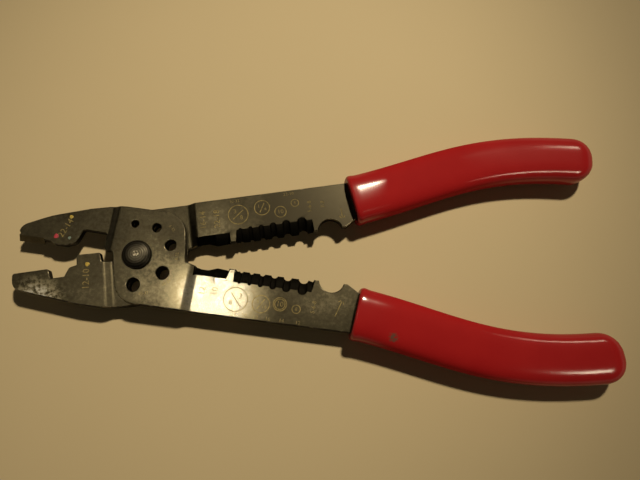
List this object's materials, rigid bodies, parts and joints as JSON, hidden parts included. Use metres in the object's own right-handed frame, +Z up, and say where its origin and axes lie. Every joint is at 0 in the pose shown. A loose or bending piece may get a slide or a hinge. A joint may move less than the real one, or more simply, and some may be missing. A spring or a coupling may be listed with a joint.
{
  "type": "wire stripper",
  "caption": "Flat stamped wire stripper and crimper: notched stripping blades behind the pivot, crimping jaws in front, dipped vinyl grips.",
  "frame": {"origin": "on the pivot axis, at the flat underside of the rivet that the tool lies on", "axes": "+X from the pivot towards the grips, along the line that halves the opening; +Z up, along the pivot axis; +Y towards the upper grip"},
  "size_m": [0.2404, 0.1054, 0.014],
  "materials": {
    "dark_steel": "blackened stamped steel, worn to a brassy grey, with bare ground bevels",
    "rivet_steel": "turned steel rivet, worn bright on top",
    "red_vinyl": "glossy dipped vinyl"
  },
  "bodies": {
    "lower_jaw_body": {"lower_jaw_half": "dark_steel", "pivot_rivet": "rivet_steel", "upper_grip": "red_vinyl"},
    "upper_jaw_body": {"upper_jaw_half": "dark_steel", "lower_grip": "red_vinyl"}
  },
  "joints": [
    {"name": "pivot", "type": "hinge", "parent": "lower_jaw_body", "child": "upper_jaw_body", "pos_m": [0, 0, 0.007], "axis": [0, 0, 1], "range_deg": [0, 16.2]}
  ]
}
